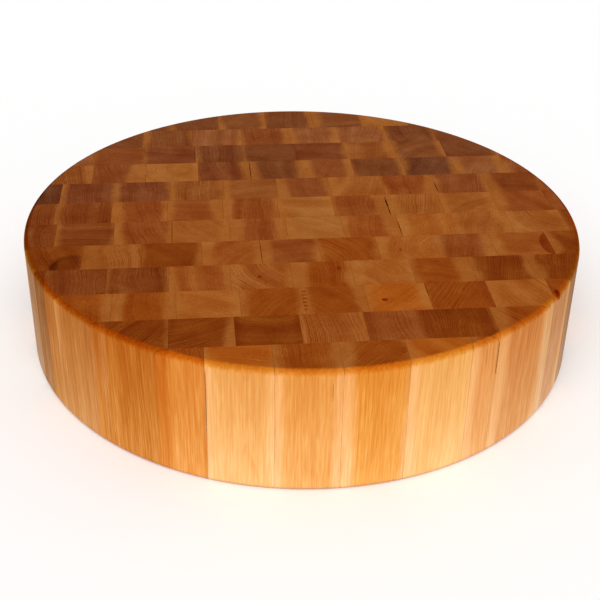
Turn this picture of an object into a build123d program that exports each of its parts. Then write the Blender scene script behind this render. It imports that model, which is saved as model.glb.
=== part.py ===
"""Round end-grain chopping block, built the way the maker glues it up.

Upright maple blocks stand side by side in rows, with their end grain up and down. The rows are
glued to each other with their joints staggered. The panel is then cut round, and the edge is
eased above and below, so that either face can be the working face. Each block is a solid of its
own. The whole blocks of a row are alike and share a node, and each block that the round cut
passes through has a node of its own.

Millimetres. The origin is the centre of the underside, +Z is up, and the rows run along X.
"""

import os
from math import ceil, floor, hypot, pi, sqrt, tan

from build123d import *

# Driving dimensions of the finished block
diameter = 457.2
height = 104.5
edge_round = 4.7

# Each pass over an edge bevels the corners that the pass before it left
easing_passes = 2

# Sizes of the glued blocks
row_depth = 37.6
block_width = 46.6
glue_line = 0.1

# No row or block at the rim is left thinner than this, measured where it is thickest
thinnest_end_row = 12.0
narrowest_end_block = 8.0

# How far the blocks at the rim are sawn past it before the round cut
saw_allowance = 6.0

# The row joint nearest to the centre, as a share of the row depth from it
row_joint_share = -0.16

# Each row's sideways shift from the back to the front, as a share of the block width
row_shift_shares = (
    -0.37, 0.08, 0.12, 0.17, -0.37, -0.41, -0.33, 0.17, -0.38, -0.26, -0.38, 0.14,
)

radius = diameter / 2


def joint_places(pitch, shift, reach, thinnest_end):
    """Places of the joints on one pitch, without those too near the rim."""
    limit = reach - thinnest_end
    first = ceil((-limit - shift) / pitch)
    last = floor((limit - shift) / pitch)
    return [shift + pitch * step for step in range(first, last + 1)]


def rows():
    """Front and back of each row, with the outer rows sawn past the rim."""
    joints = joint_places(row_depth, row_joint_share * row_depth, radius, thinnest_end_row)
    edges = [-radius - saw_allowance, *joints, radius + saw_allowance]
    return list(zip(edges, edges[1:]))[::-1]


def row_reach(front, back):
    """Half the length of a row, along the side of it that is nearest to the centre."""
    nearest = 0 if front < 0 < back else min(abs(front), abs(back))
    return sqrt(radius**2 - nearest**2)


def block_spans(front, back, shift_share):
    """Left and right side of each block in a row."""
    reach = row_reach(front, back)
    joints = joint_places(block_width, shift_share * block_width, reach, narrowest_end_block)
    edges = [-radius - saw_allowance, *joints, radius + saw_allowance]
    return list(zip(edges, edges[1:]))


def is_whole(left, right, front, back):
    """True if the round cut and its eased edges miss the block."""
    farthest = hypot(max(abs(left), abs(right)), max(abs(front), abs(back)))
    return farthest < radius - edge_round


def sawn_block(left, right, front, back):
    """One upright block, half a glue line short of each joint."""
    width = right - left - glue_line
    depth = back - front - glue_line
    middle = ((left + right) / 2, (front + back) / 2)
    with BuildPart() as block:
        with BuildSketch(Plane.XY):
            with Locations(middle):
                Rectangle(width, depth)
        extrude(amount=height)
    return block.part


def round_block(left, right, front, back):
    """One block at the rim, cut round and eased above and below."""
    with BuildPart() as block:
        add(sawn_block(left, right, front, back))
        add(round_cut.part, mode=Mode.INTERSECT)
    return block.part


def write_node(name, solids):
    """One STEP file with one solid, or with a group of like solids."""
    if len(solids) == 1:
        node = solids[0]
        node.label = name
    else:
        node = Compound(label=name, children=solids)
    export_step(node, f"parts/{name}.step")
    print(f"{name}: {len(solids)} of {solids[0].volume / 1000:.1f} cm3")


# The round that the glued panel is cut to. Both edges are eased by bevels, which all touch one
# round of the edge_round radius and so stay within a tenth of a millimetre of it.
with BuildPart() as round_cut:
    with BuildSketch(Plane.XZ) as half_section:
        Rectangle(radius, height, align=(Align.MIN, Align.MIN))
        corner_turn = pi / 2
        for _ in range(easing_passes):
            bevel = edge_round * (tan(corner_turn / 2) - tan(corner_turn / 4))
            rim_corners = half_section.vertices().sort_by(Axis.X)[2:]
            chamfer(rim_corners, bevel)
            corner_turn /= 2
    revolve(axis=Axis.Z)

os.makedirs("parts", exist_ok=True)

for index, (front, back) in enumerate(rows()):
    row_name = f"row_{index + 1:02d}"
    shift_share = row_shift_shares[index % len(row_shift_shares)]
    whole_blocks = []
    rim_count = 0
    for left, right in block_spans(front, back, shift_share):
        if is_whole(left, right, front, back):
            whole_blocks.append(sawn_block(left, right, front, back))
        else:
            rim_count += 1
            rim_block = round_block(left, right, front, back)
            write_node(f"{row_name}_rim_block_{rim_count}", [rim_block])
    if whole_blocks:
        write_node(f"{row_name}_whole_blocks", whole_blocks)
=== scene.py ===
"""Finish, floor, lights and camera for a round end-grain chopping block.

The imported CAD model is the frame. Every node of it gets a piece with the same blocks in the same
places, with smoothly eased rims, eased joints and open checks. Their oiled maple follows each
block's own rings, sapwood and colour. All lengths are in metres unless a name says otherwise. The
rows run along X, the front is towards -Y and +Z is up, as in the frame.
"""

import random
from collections import namedtuple
from math import cos, hypot, pi, radians, sin, sqrt

import bmesh
import bpy
from bpy.props import FloatProperty, FloatVectorProperty, PointerProperty
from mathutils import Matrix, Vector


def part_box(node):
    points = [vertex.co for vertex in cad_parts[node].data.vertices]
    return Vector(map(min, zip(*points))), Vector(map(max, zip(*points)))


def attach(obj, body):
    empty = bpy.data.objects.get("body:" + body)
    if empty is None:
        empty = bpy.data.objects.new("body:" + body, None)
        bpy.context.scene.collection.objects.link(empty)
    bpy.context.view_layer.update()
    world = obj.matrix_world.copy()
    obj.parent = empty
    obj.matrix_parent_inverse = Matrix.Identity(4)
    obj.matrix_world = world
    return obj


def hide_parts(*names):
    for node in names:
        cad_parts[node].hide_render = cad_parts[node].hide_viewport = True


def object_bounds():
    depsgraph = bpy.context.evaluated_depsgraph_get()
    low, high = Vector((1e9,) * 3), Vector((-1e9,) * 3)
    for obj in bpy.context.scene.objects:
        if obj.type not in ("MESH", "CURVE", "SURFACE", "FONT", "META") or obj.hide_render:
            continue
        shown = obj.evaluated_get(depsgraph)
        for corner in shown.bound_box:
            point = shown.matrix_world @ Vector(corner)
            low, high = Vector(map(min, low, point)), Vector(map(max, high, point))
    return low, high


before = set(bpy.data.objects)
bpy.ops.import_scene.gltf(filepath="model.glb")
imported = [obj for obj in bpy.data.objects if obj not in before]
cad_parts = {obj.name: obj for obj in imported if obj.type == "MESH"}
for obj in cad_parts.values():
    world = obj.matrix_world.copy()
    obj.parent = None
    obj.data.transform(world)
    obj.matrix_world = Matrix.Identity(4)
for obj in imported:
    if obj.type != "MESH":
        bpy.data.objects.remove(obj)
cad_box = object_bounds()

bl_info = {
    "name": "Round chopping block",
    "version": (1, 0, 0),
    "blender": (4, 5, 0),
    "location": "View3D > Sidebar > Chopping block",
    "description": "An oiled maple finish, a pale floor and a camera for a round chopping block",
    "category": "Object",
}

MM = 0.001
WHITE = (1.0, 1.0, 1.0, 1.0)

HEIGHT = cad_box[1].z
RADIUS = max(
    hypot(corner.co.x, corner.co.y)
    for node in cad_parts.values()
    for corner in node.data.vertices
)

# Faces of a node that are nearer to each other than this belong to one block
SAME_BLOCK = 0.02 * MM
# A side of a block that is nearer to the rim than this is the rim itself
AT_RIM = 0.3 * MM
# A check or a corner that is nearer to a side of a block than this lies on it
AT_SIDE = 1 * MM
# A block narrower than this share of a whole one is cut by the rim
CUT_SHARE = 0.9

# How finely the rim is divided round the axis and over each eased edge
RIM_STEPS = 360
EDGE_STEPS = 8
# Two more rings keep the face and the side flat: one this many edge rounds inside the eased edge,
# and one this many of them from the face
FLAT_RING = 0.1
UPRIGHT_RING = 1.2
# The arrises down the rim are eased by this share of the easing along the joints
RIM_EASING = 0.4

# One look for each block. Its end grain has the first named colour, and its long grain, where the
# rim shows it, the second. The sapwood at its left and right side is this wide, in millimetres: 0
# leaves a faint pale edge and -2 leaves none, and below that the edge is darker than the rest. The
# pith of its tree lies this far from its middle, in block widths. The figure is how strongly its
# rings show.
Look = namedtuple("Look", "end left right pith side figure", defaults=("straw", 1.0))

# The looks of each row from the left, with row 1 at the back
# The end grain of the back rows is darker, duller and bluer and that of the front rows a richer
# orange: partly the blocks' own tones and partly painted shade and a painted sheen towards the
# back.
BLOCK_LOOKS = {
    1: (
        Look("dark", 0, 0, (4, 2), "tan"),
        Look("dark", 4, 0, (6, 1), "umber"),
        Look("olive", 2, 6, (2, -2), "orange"),
        Look("dark", 0, 5, (9, 0)),
        Look("olive", 6, 0, (-1, 4), "apricot"),
        Look("honey", -5, -3, (-3, -2), "tan"),
        Look("brown", 0, 0, (-3, -3), "russet"),
    ),
    2: (
        Look("dark", 0, 0, (5, 3), "orange"),
        Look("olive", 5, 0, (7, 1), "tan"),
        Look("hazel", -2, 5, (6, -1), "tan"),
        Look("red", 3, 7, (9, 0), "tan"),
        Look("hazel", 4, 6, (10, -1), "tan"),
        Look("hazel", 1, 3, (9, -2), "tan"),
        Look("dark", 3, 0, (6, 1), "orange"),
        Look("dark", 0, 0, (3, 3), "tan"),
    ),
    3: (
        Look("hazel", 0, 0, (3, 2), "tan"),
        Look("red", 0, 1, (1, 5), "orange"),
        Look("maroon", 2, 0, (1, 6), "tan"),
        Look("dark", 4, 1, (8, 0)),
        Look("dark", 0, -3, (2, 6)),
        Look("maroon", -3, 2, (1, 5)),
        Look("brown", 5, 8, (9, -1)),
        Look("olive", 2, 4, (0.4, -0.6)),
        Look("dark", -3, 0, (-2, -3), "tan"),
        Look("hazel", 0, 0, (3, 3), "orange"),
    ),
    4: (
        Look("brown", 0, 6, (4, 1), "orange"),
        Look("red", -1, 15, (8, 1)),
        Look("honey", 0, 5, (0.1, 0.2)),
        Look("maroon", 0, 9, (6, 0.5)),
        Look("dark", 5, 4, (5, 0)),
        Look("red", 9, 6, (4, -2)),
        Look("dark", 0, 7, (3, -1)),
        Look("plum", 3, 4, (4, -2)),
        Look("hazel", 8, 9, (3, -2)),
        Look("red", 4, 0, (3, -1), "tan"),
    ),
    5: (
        Look("plum", -12, -10, (6, 1), "umber", 0.6),
        Look("maroon", 3, 2, (7, 0), "tan"),
        Look("maroon", 4, 2, (9, 0)),
        Look("brown", 5, 2, (14, 0), figure=1.5),
        Look("brown", 5, 1, (0.5, -3)),
        Look("red", 11, 6, (9, 0.5)),
        Look("tan", 7, 1, (-1.2, 0.5)),
        Look("rust", 3, 10, (7, -1)),
        Look("red", 3, 6, (7, -1.2)),
        Look("umber", 7, 0, (1, 4)),
        Look("rust", 0, 0, (4, 1), "orange"),
    ),
    6: (
        Look("umber", 0, 0, (5, 0), "umber"),
        Look("umber", 5, 0, (9, 0)),
        Look("rust", 11, 4, (5, 0.8)),
        Look("rust", 2, 8, (0.5, 6)),
        Look("rust", 8, 4, (10, -0.4)),
        Look("honey", 3, 4, (0.3, 3), figure=0.5),
        Look("rust", 3, 12, (7, -0.6)),
        Look("tan", 9, 3, (6, -1.4)),
        Look("tan", 5, 10, (1.2, -2)),
        Look("rust", 9, 0, (3, 2)),
        Look("rust", -4, -4, (6, 0), "orange"),
    ),
    7: (
        Look("umber", 0, 0, (6, 0), "umber"),
        Look("umber", 4, 1, (0.2, 5), figure=1.3),
        Look("rust", 7, 5, (6, 0.8)),
        Look("tan", 0, 7, (3, 2), figure=0.5),
        Look("rust", 12, 9, (9, 0.2)),
        Look("honey", 8, 0, (2, 3), figure=0.5),
        Look("chestnut", 2, 13, (8, -0.4)),
        Look("gold", 8, 0, (6, -1.2)),
        Look("tan", 5, 11, (5, -1.5)),
        Look("tan", 8, 0, (0.6, 0.4), figure=1.3),
        Look("ember", 0, 0, (6, 0), "tan"),
    ),
    8: (
        Look("ember", 0, 0, (3, 1), "grey"),
        Look("tan", -5, -3, (14, 0.3), figure=1.5),
        Look("ember", 0, 3, (-2, -2), figure=0.6),
        Look("chestnut", 9, 6, (3, -3), figure=0.7),
        Look("rust", 7, 4, (0.5, -2.5), figure=1.3),
        Look("amber", 1, 3, (-0.9, -0.7), figure=1.2),
        Look("gold", 9, 3, (0.6, -0.1)),
        Look("rust", 5, 8, (6, -1.5)),
        Look("chestnut", 6, 0, (1.2, 5)),
        Look("ember", 6, 0, (2, 3), "grey"),
    ),
    9: (
        Look("ember", -2, -2, (4, 2), "umber"),
        Look("umber", -2, -2, (12, 0.3), "russet"),
        Look("umber", 1, 2, (10, 0.5)),
        Look("chestnut", 7, 6, (10, 0.8), figure=1.8),
        Look("chestnut", 9, 4, (2.2, 1.2), figure=1.8),
        Look("amber", 13, 5, (-3.2, 0.2), figure=1.2),
        Look("gold", 9, 2, (-2, -1.6), figure=1.4),
        Look("amber", 5, 12, (1, 3)),
        Look("ember", 5, 4, (7, -1.4), figure=1.3),
        Look("ember", 7, 0, (6, -1.5), "grey"),
    ),
    10: (
        Look("amber", 0, 7, (8, 0.5), "russet"),
        Look("amber", 8, 9, (10, 0.3), figure=1.2),
        Look("gold", 2, 6, (-0.6, -1.4), figure=0.7),
        Look("amber", 5, 2, (1.3, -1.1), figure=1.6),
        Look("amber", 4, 8, (-1.6, -1.4), figure=1.2),
        Look("marigold", 4, 6, (3, -3), figure=0.6),
        Look("amber", 0, -3, (2, -1.2), figure=1.3),
        Look("gold", 6, 0, (5, 3), "pale"),
        Look("amber", -2, 4, (4, 2), "blush"),
    ),
    11: (
        Look("ember", -1, -1, (4, 2), "orange"),
        Look("ember", -1, 2, (3, -2), "orange", 1.4),
        Look("ember", -3, 5, (-1, 2), figure=1.5),
        Look("ember", -5, -3, (0.1, 0.9), figure=1.6),
        Look("chestnut", 2, 2, (-3.5, -0.3), figure=1.6),
        Look("rust", -6, -8, (8, 0.4), figure=1.2),
        Look("ember", -5, 0, (9, 0.5), "pink", 1.2),
        Look("amber", 9, 4, (3, 3), "tan"),
    ),
    12: (
        Look("amber", -12, -2, (5, 1), "apricot"),
        Look("marigold", 3, 3, (-0.8, -3.2), "cream"),
        Look("amber", 7, 6, (6, 0.4)),
        Look("amber", 9, 2, (1.6, -1.6), "amber", 1.4),
        Look("marigold", 5, 0, (-2, -2), "ivory"),
        Look("amber", 7, 0, (2, 2), "pink"),
    ),
}

# An open check: its X, where it starts and ends, its width and its depth
Check = namedtuple("Check", "x start end width depth")

# Checks along the joints of the upper face. They start and end along Y.
FACE_CHECKS = (
    Check(0.0741, 0.004, 0.0275, 1.2 * MM, 6 * MM),
    Check(0.0741, -0.0066, 0.0055, 0.9 * MM, 5 * MM),
    Check(0.0778, -0.0442, -0.017, 0.6 * MM, 5 * MM),
    Check(-0.0387, 0.068, 0.107, 0.6 * MM, 3 * MM),
    Check(-0.0876, 0.106, 0.144, 0.5 * MM, 3 * MM),
    Check(0.1226, 0.031, 0.057, 0.7 * MM, 3 * MM),
    Check(-0.0387, -0.0815, -0.043, 0.4 * MM, 2 * MM),
    Check(0.0811, -0.138, -0.118, 0.6 * MM, 3 * MM),
    Check(-0.1086, -0.0437, -0.006, 0.4 * MM, 2 * MM),
)

# Checks down the front of the rim. They start and end this far below the face.
RIM_CHECKS = (
    Check(0.1214, 4 * MM, 34 * MM, 0.65 * MM, 1.5 * MM),
    Check(-0.0006, 9 * MM, 26 * MM, 0.22 * MM, 0.5 * MM),
    Check(-0.0863, 1 * MM, 99 * MM, 0.5 * MM, 0.6 * MM),
)

# A side with a check is divided into this many lengths, and at these shares of the check's depth.
# The rim is divided at these shares of a check's height and of its width.
CHECK_STEPS = 24
CHECK_LEVELS = (1.0, 0.8, 0.55, 0.3)
RIM_CHECK_LEVELS = (0.0, 0.1, 0.3, 0.5, 0.7, 0.9, 1.0)
RIM_CHECK_LINES = (-0.5, 0.0, 0.5)
# Only corners this near to a rim check's middle, as a share of its width, and this far from its
# ends, as a share of its height, move in
RIM_CHECK_MIDDLE = 0.1
RIM_CHECK_ENDS = 0.05
# Powers by which a check narrows towards its ends and closes towards its foot. A higher one is
# quicker.
CHECK_SWELL = 0.8
CHECK_CLOSING = 0.7
RIM_CHECK_SWELL = 0.5
# Shares by which the width of a check ripples, each with its radians over the check's length
CHECK_RIPPLES = ((0.2, 23), (0.12, 57))
# A corner this far from the sides of its block, and this far below the face, is inside a check
CHECK_INSIDE = 0.25 * MM
CHECK_BELOW = 0.5 * MM

# A knot, a speck or a lens of dark wood: the middle, half the width and half the depth of an oval,
# and how dark it is. One with two shares at its end is a crescent: only its left and its back edge
# are dark, over those shares of half the width and half the depth.
Mark = namedtuple("Mark", "x y half_width half_depth darkness crescent", defaults=(None,))

# The dark marks in the end grain of each node
DARK_MARKS = {
    "row_08_rim_block_1": (
        Mark(-0.1855, -0.0765, 0.0150, 0.0165, 0.20),
        Mark(-0.1865, -0.0770, 0.0155, 0.0180, 0.25, (0.22, 0.16)),
        Mark(-0.1985, -0.0765, 0.0032, 0.0085, 0.26),
    ),
    "row_08_whole_blocks": (
        Mark(0.2215, -0.0665, 0.0355, 0.0330, 0.37),
        Mark(0.0722, -0.0665, 0.0013, 0.0026, 0.22),
        Mark(0.0690, -0.0570, 0.0010, 0.0014, 0.12),
    ),
    "row_09_whole_blocks": (
        Mark(-0.0420, -0.1010, 0.0015, 0.0022, 0.28),
        Mark(-0.0385, -0.1115, 0.0010, 0.0014, 0.12),
        Mark(0.0195, -0.0925, 0.0018, 0.0028, 0.20),
        Mark(0.0215, -0.1165, 0.0018, 0.0022, 0.12),
    ),
    "row_10_whole_blocks": (
        Mark(0.0474, -0.1405, 0.0020, 0.0019, 0.62),
        Mark(0.0510, -0.1410, 0.0035, 0.0040, 0.08),
        Mark(-0.0110, -0.1250, 0.0017, 0.0013, 0.30),
        Mark(-0.0108, -0.1300, 0.0018, 0.0012, 0.30),
        Mark(-0.0108, -0.1350, 0.0020, 0.0013, 0.38),
        Mark(-0.0115, -0.1400, 0.0018, 0.0012, 0.36),
        Mark(-0.0112, -0.1450, 0.0017, 0.0012, 0.34),
        Mark(-0.0116, -0.1500, 0.0016, 0.0011, 0.28),
    ),
    "row_10_rim_block_3": (Mark(0.1786, -0.1400, 0.0026, 0.0042, 0.70),),
}

# Most marks are rich in colour. This share of the darkness of those in a node is dull brown.
DULL_SHARES = {"row_08_rim_block_1": 0.9}

# How far a mark follows the ripple of the rings. How softly it ends is a length, but at most a
# share of its size, and for a crescent it is always a share.
MARK_RIPPLE = 3 * MM
MARK_BLUR = 1 * MM
SOFTEST_MARK = 0.45
CRESCENT_BLUR = 0.2
# Marks fade out between these depths below the face
MARK_FADE = (6 * MM, 4 * MM)

# Noise in the wood: its cells per metre across the grain and along it, and how many finer layers
# lie over them
Noise = namedtuple("Noise", "across along layers")

# Noise that stands upright: two waves of the rings, and clouds
UPRIGHT_NOISE = {
    "wander": Noise(24, 7, 1),
    "ripple": Noise(150, 5, 2),
    "cloud": Noise(48, 5, 3),
}

# Noise that leans with the grain: streaks, fine fibres, and patches and flecks of the side
LEANING_NOISE = {
    "streak": Noise(330, 8, 2),
    "fibre": Noise(950, 15, 1),
    "patch": Noise(60, 22, 3),
    "fleck": Noise(900, 75, 1),
}

# The rings show clearly where this noise is over the second level. Under the first they show only
# this much.
CLEAR_NOISE = Noise(40, 4, 2)
CLEAR_LEVELS = (0.35, 0.65)
LEAST_CLEAR = 0.25

# The rings stray by up to this many rings, on noise with this many cells per ring
RING_STRAY = 2
STRAY_CELLS = 0.55
# A ring darkens from the first to the second of these shares of it, and is pale again at its end.
# The mean is taken off.
LATE_WOOD = (0.2, 0.85)
LATE_MEAN = 0.35
# Cells per metre of the broad zones of rings, which start this many seeds along their noise, and
# cells of the rays over the cosine of their angle round the pith
ZONE_CELLS = 75
ZONE_START = 3
RAY_CELLS = 700

# How far the edge of the sapwood follows the wander and the ripple of the rings
STRIP_WANDER = 14 * MM
STRIP_RIPPLE = 3 * MM
# Where the sapwood and the darker core start and are full, in blurs from the edge of the strip
SAPWOOD_RISE = (-0.5, 0.5)
CORE_RISE = (-0.28, 0.72)
# How much of its colour the sapwood has, and how much of the rings and zones it hides
END_SAPWOOD = 0.62
SIDE_SAPWOOD = 0.66
SAPWOOD_CALM = 0.6

# What each part of the figure adds to the power of the end grain's colour, to the tone of the
# side, to the roughness and to the height of the surface
END_WEIGHTS = {
    "calm_zone": 0.27,
    "cloud": 0.37,
    "ring": 0.19,
    "streak": 0.12,
    "fibre": 0.22,
    "ray": 0.10,
    "core": 0.10,
}
SIDE_WEIGHTS = {
    "zone": 0.12,
    "patch": 0.24,
    "ring": 0.08,
    "streak": 0.10,
    "fibre": 0.46,
    "fleck": 0.24,
    "core": 0.24,
    "height": 0.36,
}
ROUGH_WEIGHTS = {"cloud": 0.15, "fibre": 0.15, "zone": -0.1}
RELIEF_WEIGHTS = {"fibre": 0.6, "streak": 0.6, "ring": -0.4}

# How much of its tone also dims the side
SIDE_DIMMING = 0.45

# A painted sheen: the grey light that is added to the end grain's colour where it shows most. It
# shows less by these factors where the colour is deeper and on a fibre.
PAINTED_SHEEN = (0.008, 0.008, 0.008, 1.0)
SHEEN_SHOWN = 1.15
SHEEN_IN_DEEP_WOOD = 0.9
SHEEN_ON_FIBRE = 0.4

# Over the eased edge the end grain gives way to the side by this share of the turn, and streaks
# make the change ragged
EDGE_TURN = 0.33
EDGE_RAGGED = 0.3
# A height over the foot counts for this many times as much as a depth below the face, because oil
# hardly soaks up there
FOOT_FACTOR = 3
# Streaks make the soaked band this ragged. It starts at this share of its depth, which is above
# the face. Painted shade makes it stronger by this factor away from the front, up to this many
# radii from it.
SOAK_RAGGED = 3 * MM
SOAK_START = -0.2
SOAK_SHADE_BEHIND = 1.7
SOAK_REACH = 0.7
# Painted shade: towards the back, between these shares of the radius along Y, the top of the rim
# gets darker by this much, in a band that comes in and goes out over these depths below the face.
BACK_RIM = (-0.3, 0.1)
BACK_RIM_SHADE = 0.35
BAND_START = (0.0, 0.5 * MM)
BAND_END = (3 * MM, 1 * MM)

# How strongly the small relief shows, how deep it is, and how much the matte side and the oiled
# faces shine
RELIEF_STRENGTH = 0.2
RELIEF_DEPTH = 0.1 * MM
MATTE_SHINE = 0.0
OILED_SHINE = 0.005

# What chance gives each block: its ring spacing as a share of the usual one, how far its grain
# leans, how strongly its rings show, and the seed of its noise
SPACING_SHARES = (0.75, 1.2)
LEANS = (-0.035, 0.035)
FIGURE_SHARES = (0.7, 1.2)
SEEDS = (0, 100)

# More blocks than a row can have, so that each block of the round gets its own seed
BLOCKS_PER_ROW = 100

# Sockets of a colour Mix node
MIX_FACTOR, MIX_FIRST, MIX_SECOND, MIX_RESULT = 0, 6, 7, 2

# The round floor's radius, its number of sides, and how far it lies below the block, so that the
# two never touch
FLOOR_RADIUS = 8.0
FLOOR_SIDES = 96
FLOOR_GAP = 0.1 * MM

# The width of the camera's sensor in millimetres, and the nearest that it sees
SENSOR_WIDTH = 36.0
NEAREST_SEEN = 10 * MM


def linear(level):
    """The light that a display shows for a level from 0 to 255."""
    share = level / 255
    return share / 12.92 if share <= 0.04045 else ((share + 0.055) / 1.055) ** 2.4


def colour(name, red, green, blue, description):
    """A colour that the user can change. Its default is given as display levels."""
    return FloatVectorProperty(
        name=name,
        description=description,
        subtype="COLOR",
        size=3,
        min=0.0,
        max=1.0,
        default=(linear(red), linear(green), linear(blue)),
    )


def number(name, default, description, **limits):
    """A number that the user can change."""
    return FloatProperty(name=name, description=description, default=default, **limits)


def length(name, default, description):
    """A length that the user can change."""
    return number(name, default, description, min=0.0, subtype="DISTANCE", unit="LENGTH")


def turn(name, degrees, description):
    """A turn that the user can change. Its default is given in degrees round each axis."""
    return FloatVectorProperty(
        name=name,
        description=description,
        subtype="EULER",
        unit="ROTATION",
        default=[radians(angle) for angle in degrees],
    )


def group(kind, name, description):
    """A group of settings."""
    return PointerProperty(type=kind, name=name, description=description)


class EndGrainColours(bpy.types.PropertyGroup):
    """Colours of the oiled end grain on both faces."""

    # Olive, hazel and the other dull, bluer colours serve the back rows and ember, amber and
    # marigold the front rows; that is partly painted shade and painted sheen towards the back.
    plum: colour("Plum", 101, 52, 24, "The darkest heartwood, with a purple cast")
    maroon: colour("Maroon", 117, 57, 23, "Dark heartwood with a red cast")
    dark: colour("Dark", 115, 60, 26, "Dark heartwood")
    umber: colour("Umber", 121, 57, 15, "Dark heartwood with a warm cast")
    ember: colour("Ember", 122, 53, 3, "Dark heartwood with an orange cast")
    olive: colour("Olive", 122, 65, 27, "Dull brown heartwood")
    red: colour("Red", 128, 64, 24, "Red-brown heartwood")
    rust: colour("Rust", 135, 66, 20, "Heartwood with a warm cast")
    amber: colour("Amber", 139, 64, 8, "Heartwood with an orange cast")
    chestnut: colour("Chestnut", 144, 72, 21, "Middling orange-brown wood")
    brown: colour("Brown", 135, 71, 25, "Middling brown wood")
    hazel: colour("Hazel", 137, 77, 37, "Middling dull brown wood")
    tan: colour("Tan", 148, 81, 28, "Light brown wood")
    gold: colour("Gold", 156, 84, 27, "Golden wood")
    marigold: colour("Marigold", 162, 81, 16, "Golden wood with an orange cast")
    honey: colour("Honey", 157, 93, 38, "The lightest golden wood")
    sapwood: colour("Sapwood", 165, 98, 39, "The pale strips at the sides of the blocks")
    # Painted shade: the inside of an open check is painted this dark colour.
    check: colour("Check", 74, 26, 4, "The inside of an open check")


class SideGrainColours(bpy.types.PropertyGroup):
    """Colours of the long grain round the side."""

    ivory: colour("Ivory", 243, 181, 107, "The palest staves")
    cream: colour("Cream", 236, 171, 99, "Pale yellow staves")
    straw: colour("Straw", 232, 160, 84, "Pale golden staves")
    amber: colour("Amber", 232, 155, 70, "Golden staves with an orange cast")
    apricot: colour("Apricot", 223, 144, 67, "Light orange staves")
    orange: colour("Orange", 196, 118, 46, "Deep orange staves")
    tan: colour("Tan", 219, 147, 85, "Light brown staves")
    pink: colour("Pink", 233, 162, 95, "Pale staves with a pink cast")
    russet: colour("Russet", 195, 127, 66, "Brown staves with an orange cast")
    umber: colour("Umber", 169, 115, 70, "The darkest staves")
    # Painted sheen: the grey cast of the grey, pale and blush staves at the left and right of the
    # round is partly the white light that long grain reflects where it is seen side-on.
    grey: colour("Grey", 182, 139, 105, "Brown staves with a grey cast")
    pale: colour("Pale", 231, 178, 126, "Pale staves with a grey cast")
    blush: colour("Blush", 213, 155, 109, "Brown staves with a pink cast")
    sapwood: colour("Sapwood", 251, 191, 129, "The pale strips at the sides of the staves")
    soaked: colour("Soaked", 216, 171, 86, "What the oil makes of white wood just below an edge")


class WoodSizes(bpy.types.PropertyGroup):
    """Sizes of the eased edges and of the wood's figure."""

    edge_round: length("Edge round", 4.7 * MM, "Radius of the eased rims")
    joint_easing: length("Joint easing", 0.08 * MM, "Bevel along each glued joint")
    ring_spacing: length("Ring spacing", 1.7 * MM, "Usual distance between growth rings")
    ring_wave: length("Ring wave", 14 * MM, "How far the rings wander")
    ring_ripple: length("Ring ripple", 1.6 * MM, "How far the rings ripple")
    strip_blur: length("Strip blur", 8 * MM, "How softly the sapwood strips end")
    soak_depth: length("Soak depth", 5.2 * MM, "How far the oil darkens the side below an edge")
    roughness: number(
        "Roughness", 0.55, "Roughness of the oiled wood", min=0.0, max=1.0, subtype="FACTOR"
    )


class StudioSettings(bpy.types.PropertyGroup):
    """Camera, lamp and floor."""

    camera_place: FloatVectorProperty(
        name="Camera place",
        description="Where the camera stands",
        default=(-0.0880, -0.8400, 0.5400),
        subtype="TRANSLATION",
        unit="LENGTH",
    )
    camera_turn: turn("Camera turn", (58.36, -0.90, -5.39), "How the camera is turned")
    lens: number("Lens", 67.83, "Focal length in millimetres", min=1.0, unit="CAMERA")
    sky_light: number("Sky light", 0.56, "Strength of the even light from all round", min=0.0)
    lamp_light: number("Lamp light", 1.85, "Strength of the soft lamp", min=0.0)
    lamp_turn: turn("Lamp turn", (42, 0, -12), "How the lamp is turned")
    lamp_softness: number(
        "Lamp softness",
        radians(60),
        "Angle that the lamp fills, seen from the block",
        min=0.0,
        subtype="ANGLE",
        unit="ROTATION",
    )
    floor_colour: colour("Floor", 246, 246, 244, "Colour of the floor, as it lights the block")


class ChoppingBlockSettings(bpy.types.PropertyGroup):
    """Everything that a user can change."""

    ends: group(EndGrainColours, "End grain", "Colours of the faces")
    sides: group(SideGrainColours, "Side grain", "Colours of the side")
    sizes: group(WoodSizes, "Wood", "Sizes of the eased edges and of the wood's figure")
    studio: group(StudioSettings, "Studio", "Camera, lamp and floor")


def math_forms(operation):
    """The plain and the reflected form of an operator on wires, as a Math node."""

    def plain(self, other):
        return self.nodes.math(operation, self, other)

    def reflected(self, other):
        return self.nodes.math(operation, other, self)

    return plain, reflected


class Wire:
    """An output socket. Sums of wires and numbers add the Math nodes that work them out."""

    def __init__(self, nodes, socket):
        self.nodes = nodes
        self.socket = socket

    def out(self, name):
        """Another output of the same node."""
        return Wire(self.nodes, self.socket.node.outputs[name])

    __add__, __radd__ = math_forms("ADD")
    __sub__, __rsub__ = math_forms("SUBTRACT")
    __mul__, __rmul__ = math_forms("MULTIPLY")
    __truediv__, __rtruediv__ = math_forms("DIVIDE")
    __pow__, __rpow__ = math_forms("POWER")


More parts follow.
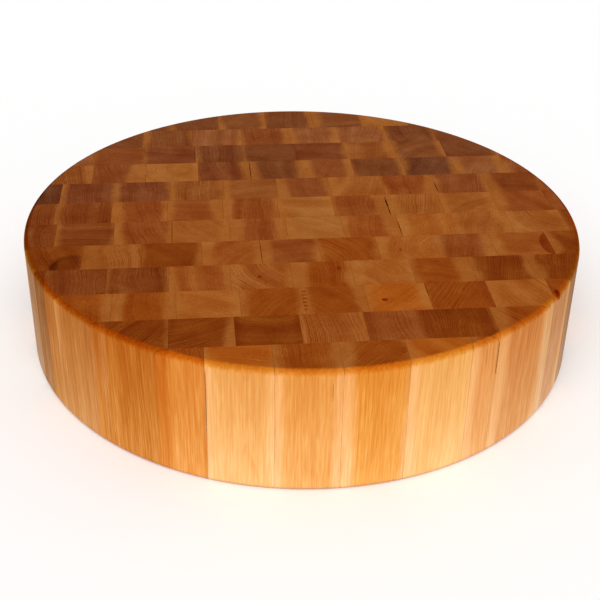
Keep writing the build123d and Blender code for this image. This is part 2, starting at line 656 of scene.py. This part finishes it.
class Nodes:
    """The node tree of a material or of the world."""

    def __init__(self, owner):
        owner.use_nodes = True
        self.tree = owner.node_tree
        self.tree.nodes.clear()

    def add(self, kind, settings=None, sockets=None, output=0):
        """Adds a node, with its settings first and then the values or links of its sockets."""
        node = self.tree.nodes.new(kind)
        for name, value in (settings or {}).items():
            setattr(node, name, value)
        for key, value in (sockets or {}).items():
            if isinstance(value, Wire):
                self.tree.links.new(value.socket, node.inputs[key])
            else:
                node.inputs[key].default_value = value
        return Wire(self, node.outputs[output]) if node.outputs else None

    def math(self, operation, first, second=0.0):
        """A Math node on values."""
        return self.add("ShaderNodeMath", {"operation": operation}, {0: first, 1: second})

    def read(self, name, output="Vector"):
        """A value that the mesh carries."""
        return self.add("ShaderNodeAttribute", {"attribute_name": name}, output=output)

    def split(self, vector):
        """The X, Y and Z of a vector."""
        parts = self.add("ShaderNodeSeparateXYZ", sockets={0: vector})
        return parts, parts.out("Y"), parts.out("Z")

    def noise(self, x, y, z, layers):
        """Noise from 0 to 1 at a place that is already scaled."""
        place = self.add("ShaderNodeCombineXYZ", sockets={0: x, 1: y, 2: z})
        sockets = {"Vector": place, "Scale": 1.0, "Detail": layers}
        return self.add("ShaderNodeTexNoise", sockets=sockets)

    def line_noise(self, place):
        """Noise from 0 to 1 along a line that is already scaled."""
        sockets = {"W": place, "Scale": 1.0, "Detail": 1.0}
        return self.add("ShaderNodeTexNoise", {"noise_dimensions": "1D"}, sockets)

    def ramp(self, value, start, end, first=0.0, last=1.0):
        """Goes smoothly from first to last as a value goes from start to end."""
        settings = {"interpolation_type": "SMOOTHSTEP"}
        places = {"From Min": start, "From Max": end, "To Min": first, "To Max": last}
        return self.add("ShaderNodeMapRange", settings, {"Value": value} | places)

    def mix(self, factor, first, second, blend="MIX"):
        """Mixes two colours."""
        settings = {"data_type": "RGBA", "blend_type": blend}
        sockets = {MIX_FACTOR: factor, MIX_FIRST: first, MIX_SECOND: second}
        return self.add("ShaderNodeMix", settings, sockets, MIX_RESULT)

    def scale(self, colour, factor):
        """A colour times a value."""
        sockets = {"Vector": colour, "Scale": factor}
        return self.add("ShaderNodeVectorMath", {"operation": "SCALE"}, sockets)

    def deepen(self, colour, power):
        """A colour to a power. One leaves it, and more makes it darker and richer."""
        return self.add("ShaderNodeGamma", sockets={"Color": colour, "Gamma": power})


def opaque(rgb):
    """A colour with its fourth value."""
    return (*rgb, 1.0)


def distance(across, along):
    """How far a place is from the middle that it is measured from."""
    return (across * across + along * along) ** 0.5


def weighted(figure, weights, start=0.0):
    """A start and parts of the figure, each times its weight, added up."""
    return sum((figure[name] * weight for name, weight in weights.items()), start)


def growth_rings(nodes, sizes, figure, across, along, spacing, seed):
    """Late wood in each ring, broad zones of rings that are darker than others, and rays."""
    reach = distance(across, along)
    reach = reach + figure["wander"] * sizes.ring_wave + figure["ripple"] * sizes.ring_ripple
    rings = reach / spacing
    stray = nodes.line_noise(rings * STRAY_CELLS + seed)
    share = nodes.math("FRACT", rings + stray * RING_STRAY)
    late_start, late_end = LATE_WOOD
    late = nodes.ramp(share, late_start, late_end) * nodes.ramp(share, 1.0, late_end) - LATE_MEAN
    zone = nodes.line_noise(reach * ZONE_CELLS + seed * ZONE_START) - 0.5
    ray = nodes.line_noise(across / reach * RAY_CELLS + seed) - 0.5
    return {"late": late, "zone": zone, "ray": ray}


def sapwood_strips(nodes, sizes, figure, gaps, strips):
    """Sapwood at the left and right side of each block, and the darker core between them."""
    stray = figure["wander"] * STRIP_WANDER + figure["ripple"] * STRIP_RIPPLE
    masks = []
    cores = []
    for strip, gap in zip(strips, gaps):
        masks.append(nodes.ramp((strip - gap + stray) / sizes.strip_blur, *SAPWOOD_RISE))
        cores.append(nodes.ramp((stray - strip - gap) / sizes.strip_blur, *CORE_RISE))
    left, right = masks
    return {"sapwood": left + right - left * right, "core": cores[0] + cores[1]}


def wood_figure(nodes, sizes, x, y, z):
    """Each part of the wood's figure, by its name. Noise goes from -0.5 to 0.5."""
    # Each block lies somewhere in its own tree, whose axis leans a little
    lean_x, lean_y, seed = nodes.split(nodes.read("lean"))
    pith_x, pith_y, spacing = nodes.split(nodes.read("pith"))
    leaning_x = x + lean_x * z
    leaning_y = y + lean_y * z
    grain_x = leaning_x + seed
    figure = {"height": z / HEIGHT - 0.5}
    for name, (across, along, layers) in UPRIGHT_NOISE.items():
        figure[name] = nodes.noise(x * across + seed, y * across, z * along, layers) - 0.5
    for name, (across, along, layers) in LEANING_NOISE.items():
        figure[name] = nodes.noise(grain_x * across, leaning_y * across, z * along, layers) - 0.5
    across, along, layers = CLEAR_NOISE
    clear = nodes.noise(x * across, y * across + seed, z * along, layers)
    clear = nodes.ramp(clear, *CLEAR_LEVELS, LEAST_CLEAR, 1.0)

    from_pith = (leaning_x - pith_x, leaning_y - pith_y)
    figure |= growth_rings(nodes, sizes, figure, *from_pith, spacing, seed)
    left_gap, right_gap, figure["check"] = nodes.split(nodes.read("from_sides"))
    left_strip, right_strip, strength = nodes.split(nodes.read("strips"))
    gaps, strips = (left_gap, right_gap), (left_strip, right_strip)
    figure |= sapwood_strips(nodes, sizes, figure, gaps, strips)
    heart = 1 - figure["sapwood"] * SAPWOOD_CALM
    figure["ring"] = figure["late"] * clear * strength * heart
    figure["calm_zone"] = figure["zone"] * heart
    return figure


def end_grain(nodes, ends, figure):
    """Colour of the end grain on both faces, with a painted sheen added as grey light."""
    heartwood = nodes.read("end_colour", "Color")
    colour = nodes.mix(figure["sapwood"] * END_SAPWOOD, heartwood, opaque(ends.sapwood))
    power = weighted(figure, END_WEIGHTS, 1)
    # Painted sheen: grey light added to the colour, less on deep wood and on fibres
    sheen = SHEEN_SHOWN - power * SHEEN_IN_DEEP_WOOD - figure["fibre"] * SHEEN_ON_FIBRE
    return nodes.mix(sheen, nodes.deepen(colour, power), PAINTED_SHEEN, "ADD")


def side_grain(nodes, settings, figure, y, from_face):
    """Colour of the side grain, soaked with oil, with painted shade away from the front."""
    heartwood = nodes.read("side_colour", "Color")
    sapwood = opaque(settings.sides.sapwood)
    colour = nodes.mix(figure["sapwood"] * SIDE_SAPWOOD, heartwood, sapwood)
    tone = weighted(figure, SIDE_WEIGHTS)
    colour = nodes.scale(nodes.deepen(colour, 1 + tone), 1 - tone * SIDE_DIMMING)
    depth = settings.sizes.soak_depth
    ragged = from_face + figure["streak"] * SOAK_RAGGED
    soak_and_shade = nodes.ramp(ragged, depth * SOAK_START, depth, 1.0, 0.0)
    # Painted shade makes the soaked band deeper away from the front
    from_front = nodes.math("MINIMUM", 1 + y / RADIUS, SOAK_REACH)
    soak_and_shade = soak_and_shade * (1 + from_front * SOAK_SHADE_BEHIND)
    soaked = nodes.deepen(opaque(settings.sides.soaked), soak_and_shade)
    return nodes.mix(1.0, colour, soaked, "MULTIPLY")


def painted_back_shade(nodes, y, from_face):
    """How much painted shade darkens the top of the rim at the sides and the back."""
    behind = nodes.ramp(y / RADIUS, *BACK_RIM, 0.0, BACK_RIM_SHADE)
    return behind * nodes.ramp(from_face, *BAND_START) * nodes.ramp(from_face, *BAND_END)


def dark_marks(nodes, x, y, ripple, marks):
    """How much darker knots and specks make a place."""
    total = 0.0
    for mark in marks:
        across = (x + ripple * min(mark.half_width, MARK_RIPPLE) - mark.x) / mark.half_width
        along = (y + ripple * min(mark.half_depth, MARK_RIPPLE) - mark.y) / mark.half_depth
        blur = CRESCENT_BLUR if mark.crescent else min(SOFTEST_MARK, MARK_BLUR / mark.half_width)
        dark = nodes.ramp(distance(across, along), 1 + blur, 1 - blur, 0.0, mark.darkness)
        if mark.crescent:
            left_edge, back_edge = mark.crescent
            clear = distance(across - left_edge, along + back_edge)
            dark = dark * nodes.ramp(clear, 1 - blur, 1 + blur)
        total = dark + total
    return total


def oiled_maple(name, marks=(), dull_share=0.0):
    """Maple with end grain on both faces and long grain round the side, under oil."""
    settings = bpy.context.scene.chopping_block
    sizes = settings.sizes
    material = bpy.data.materials.new(name)
    nodes = Nodes(material)
    x, y, z = nodes.split(nodes.add("ShaderNodeTexCoord", output="Object"))
    figure = wood_figure(nodes, sizes, x, y, z)

    # Over the eased edge the end grain gives way to the side
    from_face = nodes.math("MINIMUM", z * FOOT_FACTOR, HEIGHT - z)
    turn = (from_face / sizes.edge_round) ** 0.5 + figure["streak"] * EDGE_RAGGED
    on_face = nodes.ramp(turn, 0.0, EDGE_TURN, 1.0, 0.0)
    side_colour = side_grain(nodes, settings, figure, y, from_face)
    wood = nodes.mix(on_face, side_colour, end_grain(nodes, settings.ends, figure))
    # Painted shade darkens the top of the rim towards the back
    wood = nodes.scale(wood, 1 - painted_back_shade(nodes, y, from_face))

    if marks:
        dark = dark_marks(nodes, x, y, figure["ripple"], marks)
        dark = dark * nodes.ramp(from_face, *MARK_FADE)
        wood = nodes.deepen(wood, 1 + dark * (1 - dull_share))
        wood = nodes.scale(wood, 1 - dark * dull_share)
    # Painted shade: the inside of open checks gets the dark check colour
    wood = nodes.mix(figure["check"], wood, opaque(settings.ends.check))

    relief = {
        "Strength": RELIEF_STRENGTH,
        "Distance": RELIEF_DEPTH,
        "Height": weighted(figure, RELIEF_WEIGHTS),
    }
    sockets = {
        "Base Color": wood,
        "Roughness": weighted(figure, ROUGH_WEIGHTS, sizes.roughness),
        "Normal": nodes.add("ShaderNodeBump", sockets=relief),
    }
    shaders = []
    for shine in (MATTE_SHINE, OILED_SHINE):
        finish = sockets | {"Specular IOR Level": shine}
        shaders.append(nodes.add("ShaderNodeBsdfPrincipled", sockets=finish))
    both = nodes.add("ShaderNodeMixShader", sockets={0: on_face, 1: shaders[0], 2: shaders[1]})
    nodes.add("ShaderNodeOutputMaterial", sockets={"Surface": both})
    return material


def block_sides(node):
    """Left, right, front and back of each block in a CAD node. A glue line parts them along X."""
    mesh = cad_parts[node].data
    spans = []
    for face in mesh.polygons:
        places = [mesh.vertices[index].co.x for index in face.vertices]
        spans.append((min(places), max(places)))
    blocks = []
    for low, high in sorted(spans):
        if blocks and low < blocks[-1][1] + SAME_BLOCK:
            blocks[-1][1] = max(blocks[-1][1], high)
        else:
            blocks.append([low, high])
    lowest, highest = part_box(node)
    return [(left, right, lowest.y, highest.y) for left, right in blocks]


def block_width():
    """The width of a whole block, from those of a middle row."""
    return max(right - left for left, right, front, back in block_sides("row_06_whole_blocks"))


def row_nodes(row, kind=""):
    """The nodes of a row, or only those of one kind."""
    return [node for node in sorted(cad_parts) if node.startswith(f"row_{row:02d}_{kind}")]


def row_blocks(row):
    """Every block of a row from the left: its sides and its node."""
    return sorted((sides, node) for node in row_nodes(row) for sides in block_sides(node))


def ringed_solid(rings, smooth):
    """A closed solid from rings of places, from the lowest to the highest."""
    solid = bmesh.new()
    rings = [[solid.verts.new(place) for place in ring] for ring in rings]
    solid.faces.new(reversed(rings[0]))
    solid.faces.new(rings[-1])
    for below, above in zip(rings, rings[1:]):
        for index in range(len(below)):
            after = (index + 1) % len(below)
            face = solid.faces.new((below[index], below[after], above[after], above[index]))
            face.smooth = smooth
    return solid


def opening(side_x, y, z):
    """How far a side of a block stands back from its joint for an open check."""
    widest = 0.0
    for check in FACE_CHECKS:
        if abs(side_x - check.x) < AT_SIDE and check.start < y < check.end:
            along = (y - check.start) / (check.end - check.start)
            ripples = (share * sin(along * rate) for share, rate in CHECK_RIPPLES)
            swell = sin(pi * along) ** CHECK_SWELL * sum(ripples, 1)
            left_open = max(0.0, 1 - (HEIGHT - z) / check.depth) ** CHECK_CLOSING
            widest = max(widest, check.width / 2 * swell * left_open)
    return widest


def face_checks(sides):
    left, right, front, back = sides
    found = []
    for check in FACE_CHECKS:
        beside = min(abs(left - check.x), abs(right - check.x)) < AT_SIDE
        if beside and check.start < back and front < check.end:
            found.append(check)
    return found


def whole_block(sides, ease):
    left, right, front, back = sides
    checks = face_checks(sides)
    levels = [(0.0, ease), (ease, 0.0), (HEIGHT - ease, 0.0), (HEIGHT, ease)]
    steps = 1
    if checks:
        steps = CHECK_STEPS
        deepest = max(check.depth for check in checks)
        levels[2:2] = [(HEIGHT - deepest * share, 0.0) for share in CHECK_LEVELS]
    rings = []
    for z, inset in levels:
        depth = back - front - 2 * inset
        stations = [front + inset + depth * step / steps for step in range(steps + 1)]
        east = [(right - inset - opening(right, y, z), y, z) for y in stations]
        west = [(left + inset + opening(left, y, z), y, z) for y in reversed(stations)]
        rings.append(east + west)
    return ringed_solid(rings, smooth=False)


def turned_round(edge_round):
    """The round that the panel is cut to, with both edges eased smoothly."""
    easing = [pi / 2 * step / EDGE_STEPS for step in range(EDGE_STEPS + 1)]
    inner = RADIUS - edge_round
    low = [(inner - edge_round * FLAT_RING, 0.0)]
    low += [(inner + edge_round * sin(turn), edge_round * (1 - cos(turn))) for turn in easing]
    low += [(RADIUS, edge_round * UPRIGHT_RING)]
    profile = low + [(reach, HEIGHT - z) for reach, z in reversed(low)]
    turns = [2 * pi * (step + 0.5) / RIM_STEPS for step in range(RIM_STEPS)]
    rings = [[(reach * cos(turn), reach * sin(turn), z) for turn in turns] for reach, z in profile]
    solid = ringed_solid(rings, smooth=True)
    for face in solid.faces:
        if len(face.verts) == RIM_STEPS:
            face.smooth = False
    return solid


def score(solid, point, normal):
    """Adds edges where a plane crosses the solid."""
    everything = solid.verts[:] + solid.edges[:] + solid.faces[:]
    bmesh.ops.bisect_plane(solid, geom=everything, plane_co=point, plane_no=normal)


def cut(solid, point, normal):
    """Cuts off what lies beyond a plane and closes the solid again."""
    everything = solid.verts[:] + solid.edges[:] + solid.faces[:]
    found = bmesh.ops.bisect_plane(
        solid, geom=everything, plane_co=point, plane_no=normal, clear_outer=True
    )
    loop = [part for part in found["geom_cut"] if isinstance(part, bmesh.types.BMEdge)]
    if len(loop) > 2:
        for face in bmesh.ops.contextual_create(solid, geom=loop)["faces"]:
            face.smooth = False


def rim_checks(sides):
    left, right, front, back = sides
    found = []
    for check in RIM_CHECKS:
        rim_y = -sqrt(RADIUS**2 - check.x**2)
        if left < check.x < right and front < rim_y + AT_RIM and rim_y - AT_RIM < back:
            found.append(check)
    return found


def open_rim(solid, check):
    """Opens a check: a thin upright wedge that swells in the middle of its height."""
    across = Vector((1, 0, 0))
    up = Vector((0, 0, 1))
    height = check.end - check.start
    for share in RIM_CHECK_LINES:
        score(solid, across * (check.x + check.width * share), across)
    for share in RIM_CHECK_LEVELS:
        score(solid, up * (HEIGHT - check.start - height * share), up)
    for corner in solid.verts:
        share = (HEIGHT - check.start - corner.co.z) / height
        in_middle = abs(corner.co.x - check.x) < check.width * RIM_CHECK_MIDDLE
        in_height = RIM_CHECK_ENDS < share < 1 - RIM_CHECK_ENDS
        at_front = corner.co.y < 0 and corner.co.xy.length > RADIUS - AT_RIM
        if in_middle and in_height and at_front:
            corner.co.y += check.depth * sin(pi * share) ** RIM_CHECK_SWELL
            for face in corner.link_faces:
                face.smooth = False


def rim_block(round_solid, sides, ease):
    """A block of the round, with eased arrises along its joints and down the rim."""
    left, right, front, back = sides
    solid = round_solid.copy()
    nearest_y = max(front, -back, 0.0)
    nearest_x = max(left, -right, 0.0)
    reach_x = sqrt(RADIUS**2 - nearest_y**2)
    reach_y = sqrt(RADIUS**2 - nearest_x**2)
    # The four ways out of the block, how far out it is sawn and how far out the round is
    ways = (
        (Vector((-1, 0, 0)), -left, reach_x),
        (Vector((1, 0, 0)), right, reach_x),
        (Vector((0, -1, 0)), -front, reach_y),
        (Vector((0, 1, 0)), back, reach_y),
    )
    joints = [(normal * sawn, normal) for normal, sawn, reach in ways if sawn < reach - AT_RIM]
    for point, normal in joints:
        cut(solid, point, normal)
    up = Vector((0, 0, 1))
    for point, normal in joints:
        cut(solid, point - normal * ease + up * HEIGHT, normal + up)
        cut(solid, point - normal * ease, normal - up)
    for point, normal in joints:
        along = Vector((normal.y, normal.x, 0))
        half = sqrt(RADIUS**2 - point.length_squared)
        for corner in (point + along * half, point - along * half):
            inside = left < corner.x + AT_SIDE and corner.x - AT_SIDE < right
            if inside and front < corner.y + AT_SIDE and corner.y - AT_SIDE < back:
                outward = normal + corner / RADIUS
                blunt = outward.length / 2
                depth = ease * RIM_EASING * min(1.0, sqrt(1 - blunt**2) / blunt)
                outward.normalize()
                cut(solid, corner - outward * depth, outward)
    for check in rim_checks(sides):
        open_rim(solid, check)
    return solid


def finished_block(solid, sides, look, seed):
    """A block's solid with what its wood needs to know."""
    settings = bpy.context.scene.chopping_block
    left, right, front, back = sides
    chance = random.Random(seed)
    width = block_width()
    middle_x = (left + right) / 2
    if right - left < width * CUT_SHARE and left < 0:
        # The rim has taken the left end of this block
        middle_x = right - width / 2
    spacing = settings.sizes.ring_spacing * chance.uniform(*SPACING_SHARES)
    pith_x = middle_x + look.pith[0] * width
    pith_y = (front + back) / 2 + look.pith[1] * width
    lean = (chance.uniform(*LEANS), chance.uniform(*LEANS), chance.uniform(*SEEDS))
    strips = (look.left * MM, look.right * MM, chance.uniform(*FIGURE_SHARES) * look.figure)
    return {
        "solid": solid,
        "sides": sides,
        "end_colour": opaque(getattr(settings.ends, look.end)),
        "side_colour": opaque(getattr(settings.sides, look.side)),
        "pith": (pith_x, pith_y, spacing),
        "lean": lean,
        "strips": strips,
    }


def fill(mesh, name, kind, values):
    """Gives every corner of a mesh its value."""
    layer = mesh.attributes.new(name, kind, "POINT")
    key = "color" if kind == "FLOAT_COLOR" else "vector"
    layer.data.foreach_set(key, [number for value in values for number in value])


def in_check(corner, sides, whole):
    """True for a corner of painted shade inside an open check, in the upper half of its block."""
    left, right, front, back = sides
    below = HEIGHT - corner.z
    if min(corner.x - left, right - corner.x) < CHECK_INSIDE or below > HEIGHT / 2:
        return False
    if whole:
        return below > CHECK_BELOW
    edge_round = bpy.context.scene.chopping_block.sizes.edge_round
    behind_rim = corner.xy.length < RADIUS - AT_RIM
    return behind_rim and below > edge_round + CHECK_BELOW and bool(rim_checks(sides))


def make_piece(node, blocks, material):
    """One piece that stands for a CAD node, from its finished blocks."""
    corners, faces, smooth, owner = [], [], [], []
    for block in blocks:
        start = len(corners)
        solid = block["solid"]
        solid.verts.index_update()
        corners += [corner.co.copy() for corner in solid.verts]
        owner += [block] * len(solid.verts)
        for face in solid.faces:
            faces.append([start + corner.index for corner in face.verts])
            smooth.append(face.smooth)
        solid.free()
    mesh = bpy.data.meshes.new(f"oiled_{node}")
    mesh.from_pydata(corners, [], faces)
    mesh.polygons.foreach_set("use_smooth", smooth)
    for name in ("end_colour", "side_colour"):
        fill(mesh, name, "FLOAT_COLOR", [block[name] for block in owner])
    for name in ("pith", "lean", "strips"):
        fill(mesh, name, "FLOAT_VECTOR", [block[name] for block in owner])
    gaps = []
    for corner, block in zip(corners, owner):
        left, right, front, back = block["sides"]
        dark = float(in_check(corner, block["sides"], "whole" in node))
        gaps.append((corner.x - left, right - corner.x, dark))
    fill(mesh, "from_sides", "FLOAT_VECTOR", gaps)
    mesh.materials.append(material)
    mesh.validate()
    piece = bpy.data.objects.new(f"oiled_{node}", mesh)
    bpy.context.scene.collection.objects.link(piece)
    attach(piece, "root")
    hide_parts(node)
    return piece


def finish_nodes(kind, build):
    """Makes the pieces of all nodes of one kind. A block's look goes by its place in its row."""
    plain = oiled_maple(f"oiled_maple_{kind}")
    for row, looks in BLOCK_LOOKS.items():
        blocks = row_blocks(row)
        if len(blocks) != len(looks):
            raise RuntimeError(f"row {row} has {len(blocks)} blocks and {len(looks)} looks")
        for node in row_nodes(row, kind):
            finished = [
                finished_block(build(sides), sides, looks[place], row * BLOCKS_PER_ROW + place)
                for place, (sides, owner) in enumerate(blocks)
                if owner == node
            ]
            material = plain
            if node in DARK_MARKS:
                dull_share = DULL_SHARES.get(node, 0.0)
                material = oiled_maple(f"oiled_maple_{node}", DARK_MARKS[node], dull_share)
            make_piece(node, finished, material)


class CHOPPINGBLOCK_OT_whole_blocks(bpy.types.Operator):
    """Makes the whole blocks of every row"""

    bl_idname = "chopping_block.whole_blocks"
    bl_label = "Whole blocks"

    def execute(self, context):
        ease = context.scene.chopping_block.sizes.joint_easing
        finish_nodes("whole", lambda sides: whole_block(sides, ease))
        return {"FINISHED"}


class CHOPPINGBLOCK_OT_rim_blocks(bpy.types.Operator):
    """Makes the blocks that the round cut passes through"""

    bl_idname = "chopping_block.rim_blocks"
    bl_label = "Rim blocks"

    def execute(self, context):
        sizes = context.scene.chopping_block.sizes
        round_solid = turned_round(sizes.edge_round)
        finish_nodes("rim", lambda sides: rim_block(round_solid, sides, sizes.joint_easing))
        round_solid.free()
        return {"FINISHED"}


def seen_directly(nodes):
    """One for rays from the camera and for mirrored and refracted ones, and otherwise zero."""
    path = nodes.add("ShaderNodeLightPath", output="Is Camera Ray")
    both = nodes.math("MAXIMUM", path, path.out("Is Glossy Ray"))
    return nodes.math("MAXIMUM", both, path.out("Is Transmission Ray"))


def make_floor(studio):
    """A wide pale floor. It is white where the block leaves it unshaded."""
    solid = bmesh.new()
    bmesh.ops.create_circle(solid, cap_ends=True, segments=FLOOR_SIDES, radius=FLOOR_RADIUS)
    mesh = bpy.data.meshes.new("floor")
    solid.to_mesh(mesh)
    solid.free()
    material = bpy.data.materials.new("floor_paint")
    nodes = Nodes(material)
    pale = nodes.add("ShaderNodeBsdfDiffuse", sockets={"Color": opaque(studio.floor_colour)})
    white = nodes.add("ShaderNodeBsdfDiffuse", sockets={"Color": WHITE})
    both = nodes.add("ShaderNodeMixShader", sockets={0: seen_directly(nodes), 1: pale, 2: white})
    nodes.add("ShaderNodeOutputMaterial", sockets={"Surface": both})
    mesh.materials.append(material)
    floor = bpy.data.objects.new("floor", mesh)
    floor.location.z = -FLOOR_GAP
    bpy.context.scene.collection.objects.link(floor)


def make_world(studio):
    """Even white light, and a white background."""
    world = bpy.data.worlds.new("studio")
    nodes = Nodes(world)
    shaders = {0: seen_directly(nodes)}
    for socket, strength in ((1, studio.sky_light), (2, 1.0)):
        light = {"Color": WHITE, "Strength": strength}
        shaders[socket] = nodes.add("ShaderNodeBackground", sockets=light)
    both = nodes.add("ShaderNodeMixShader", sockets=shaders)
    nodes.add("ShaderNodeOutputWorld", sockets={"Surface": both})
    bpy.context.scene.world = world


def make_lamp(studio):
    """One large soft lamp, above and behind the camera."""
    light = bpy.data.lights.new("soft_lamp", "SUN")
    light.energy = studio.lamp_light
    light.angle = studio.lamp_softness
    lamp = bpy.data.objects.new("soft_lamp", light)
    lamp.rotation_euler = studio.lamp_turn
    bpy.context.scene.collection.objects.link(lamp)


def make_camera(studio):
    """The camera, at the photograph's viewing angle."""
    data = bpy.data.cameras.new("camera")
    data.sensor_width = SENSOR_WIDTH
    data.lens = studio.lens
    data.clip_start = NEAREST_SEEN
    camera = bpy.data.objects.new("camera", data)
    camera.location = studio.camera_place
    camera.rotation_euler = studio.camera_turn
    bpy.context.scene.collection.objects.link(camera)
    bpy.context.scene.camera = camera


class CHOPPINGBLOCK_OT_stage(bpy.types.Operator):
    """Makes the floor, the light and the camera"""

    bl_idname = "chopping_block.stage"
    bl_label = "Stage"

    def execute(self, context):
        studio = context.scene.chopping_block.studio
        make_floor(studio)
        make_world(studio)
        make_lamp(studio)
        make_camera(studio)
        context.scene.view_settings.view_transform = "Standard"
        return {"FINISHED"}


GROUPS = (EndGrainColours, SideGrainColours, WoodSizes, StudioSettings, ChoppingBlockSettings)
OPERATORS = (CHOPPINGBLOCK_OT_stage, CHOPPINGBLOCK_OT_whole_blocks, CHOPPINGBLOCK_OT_rim_blocks)


class CHOPPINGBLOCK_PT_panel(bpy.types.Panel):
    """Lists the pieces, the stage and their settings"""

    bl_label = "Chopping block"
    bl_space_type = "VIEW_3D"
    bl_region_type = "UI"
    bl_category = "Chopping block"

    def draw(self, context):
        layout = self.layout
        for operator in OPERATORS:
            layout.operator(operator.bl_idname)
        settings = context.scene.chopping_block
        for part in (settings.sizes, settings.ends, settings.sides, settings.studio):
            box = layout.box()
            for name in part.__annotations__:
                box.prop(part, name)


CLASSES = (*GROUPS, *OPERATORS, CHOPPINGBLOCK_PT_panel)


def register():
    for cls in CLASSES:
        bpy.utils.register_class(cls)
    bpy.types.Scene.chopping_block = group(
        ChoppingBlockSettings, "Chopping block", "Settings of the chopping block"
    )


def unregister():
    del bpy.types.Scene.chopping_block
    for cls in reversed(CLASSES):
        bpy.utils.unregister_class(cls)


def main():
    register()
    bpy.ops.chopping_block.stage()
    bpy.ops.chopping_block.whole_blocks()
    bpy.ops.chopping_block.rim_blocks()


if __name__ == "__main__":
    main()
